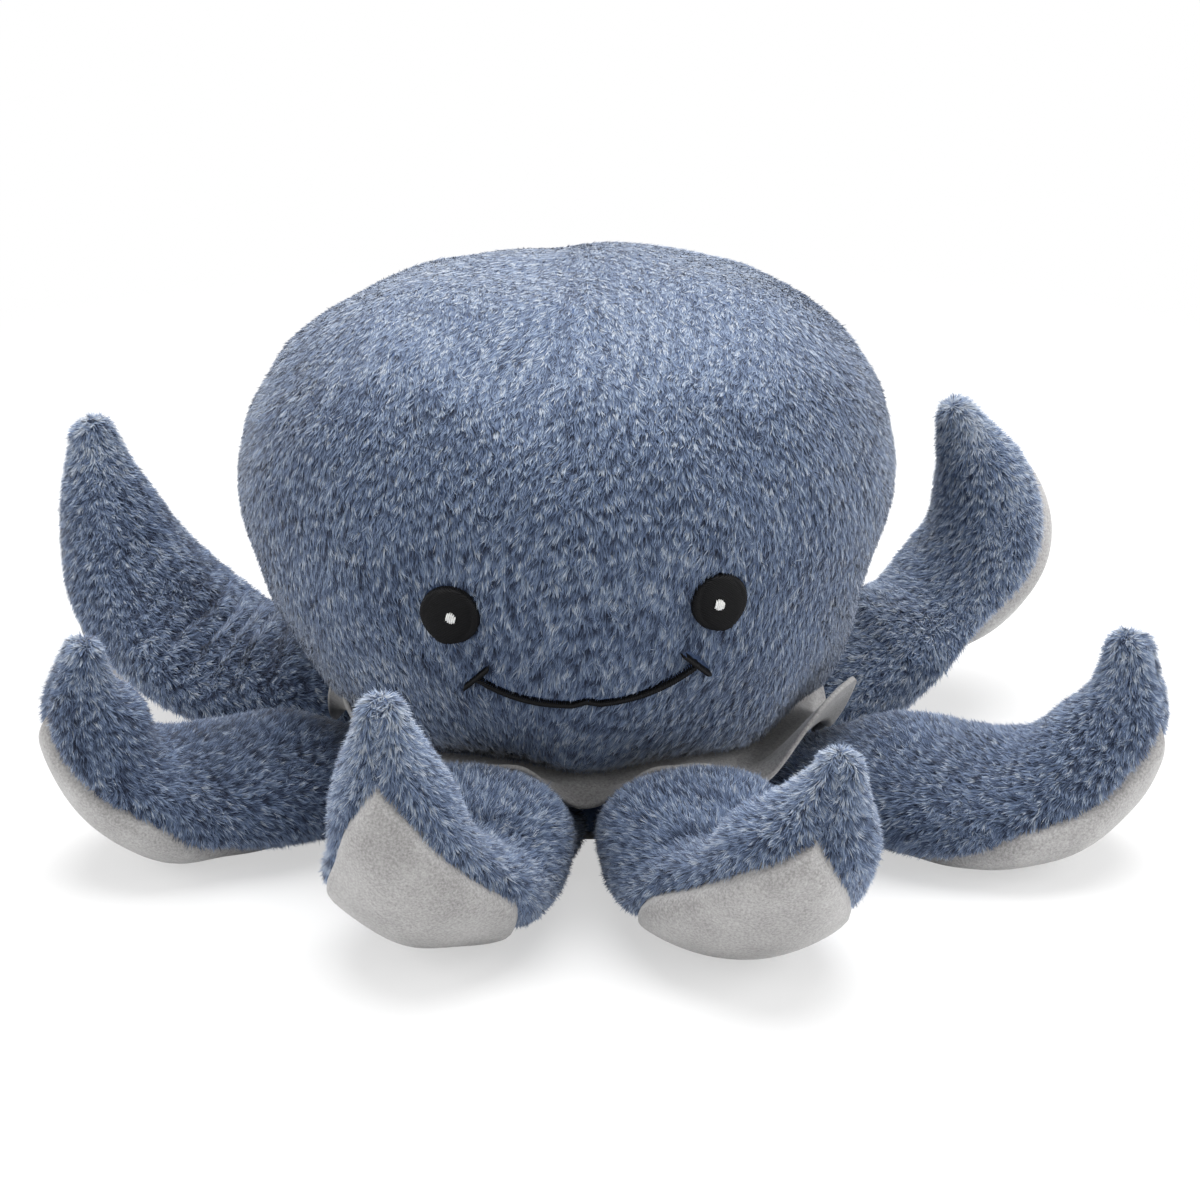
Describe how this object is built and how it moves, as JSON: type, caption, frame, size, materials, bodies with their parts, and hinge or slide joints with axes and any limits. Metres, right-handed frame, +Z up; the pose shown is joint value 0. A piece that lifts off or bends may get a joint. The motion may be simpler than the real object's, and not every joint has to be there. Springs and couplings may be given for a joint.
{
  "type": "plush octopus toy",
  "caption": "Soft plush octopus with a broad domed head, an embroidered smiling face, a wavy suede collar and stuffed arms that curl up from suede undersides.",
  "frame": {"origin": "centre of the base disc's underside, on the surface the toy stands on", "axes": "+Z up, the face looks along -Y, +X to the right in a view of the face"},
  "size_m": [0.2445, 0.2226, 0.1215],
  "materials": {
    "plush": "matte",
    "suede": "matte",
    "filling": "matte",
    "thread_black": "satin",
    "thread_white": "satin"
  },
  "bodies": {
    "body": {"base_disc": "suede", "collar": "suede", "head_front_panel": "plush", "head_rear_panel": "plush", "head_filling": "filling", "eye_left": "thread_black", "eye_left_highlight": "thread_white", "eye_right": "thread_black", "eye_right_highlight": "thread_white", "mouth_line": "thread_black", "mouth_corner_left": "thread_black", "mouth_corner_right": "thread_black"},
    "arm_front_left": {"arm_front_left_cover": "plush", "arm_front_left_panel": "suede", "arm_front_left_filling": "filling"},
    "arm_front_right": {"arm_front_right_cover": "plush", "arm_front_right_panel": "suede", "arm_front_right_filling": "filling"},
    "arm_mid_left": {"arm_mid_left_cover": "plush", "arm_mid_left_panel": "suede", "arm_mid_left_filling": "filling"},
    "arm_mid_right": {"arm_mid_right_cover": "plush", "arm_mid_right_panel": "suede", "arm_mid_right_filling": "filling"},
    "arm_rear_left": {"arm_rear_left_cover": "plush", "arm_rear_left_panel": "suede", "arm_rear_left_filling": "filling"},
    "arm_rear_right": {"arm_rear_right_cover": "plush", "arm_rear_right_panel": "suede", "arm_rear_right_filling": "filling"},
    "arm_back_left": {"arm_back_left_cover": "plush", "arm_back_left_panel": "suede", "arm_back_left_filling": "filling"},
    "arm_back_right": {"arm_back_right_cover": "plush", "arm_back_right_panel": "suede", "arm_back_right_filling": "filling"}
  },
  "joints": [
    {"name": "arm_front_left_root", "type": "hinge", "parent": "body", "child": "arm_front_left", "pos_m": [-0.0149, -0.03783, 0.0085], "axis": [-0.9272, 0.3746, 0], "range_deg": [-30, 10], "stiffness_Nm_per_rad": 0.012},
    {"name": "arm_front_right_root", "type": "hinge", "parent": "body", "child": "arm_front_right", "pos_m": [0.0149, -0.03783, 0.0085], "axis": [-0.9537, -0.3007, 0], "range_deg": [-30, 10], "stiffness_Nm_per_rad": 0.012},
    {"name": "arm_mid_left_root", "type": "hinge", "parent": "body", "child": "arm_mid_left", "pos_m": [-0.04228, -0.01795, 0.0085], "axis": [-0.2419, 0.9703, 0], "range_deg": [-30, 10], "stiffness_Nm_per_rad": 0.012},
    {"name": "arm_mid_right_root", "type": "hinge", "parent": "body", "child": "arm_mid_right", "pos_m": [0.04228, -0.01795, 0.0085], "axis": [-0.3338, -0.9426, 0], "range_deg": [-30, 10], "stiffness_Nm_per_rad": 0.012},
    {"name": "arm_rear_left_root", "type": "hinge", "parent": "body", "child": "arm_rear_left", "pos_m": [-0.04207, 0.01829, 0.0085], "axis": [0.2924, 0.9563, 0], "range_deg": [-30, 10], "stiffness_Nm_per_rad": 0.012},
    {"name": "arm_rear_right_root", "type": "hinge", "parent": "body", "child": "arm_rear_right", "pos_m": [0.04207, 0.01829, 0.0085], "axis": [0.4924, -0.8704, 0], "range_deg": [-30, 10], "stiffness_Nm_per_rad": 0.012},
    {"name": "arm_back_left_root", "type": "hinge", "parent": "body", "child": "arm_back_left", "pos_m": [-0.0149, 0.03783, 0.0085], "axis": [0.9455, 0.3256, 0], "range_deg": [-30, 10], "stiffness_Nm_per_rad": 0.012},
    {"name": "arm_back_right_root", "type": "hinge", "parent": "body", "child": "arm_back_right", "pos_m": [0.0149, 0.03783, 0.0085], "axis": [0.9511, -0.309, 0], "range_deg": [-30, 10], "stiffness_Nm_per_rad": 0.012}
  ]
}
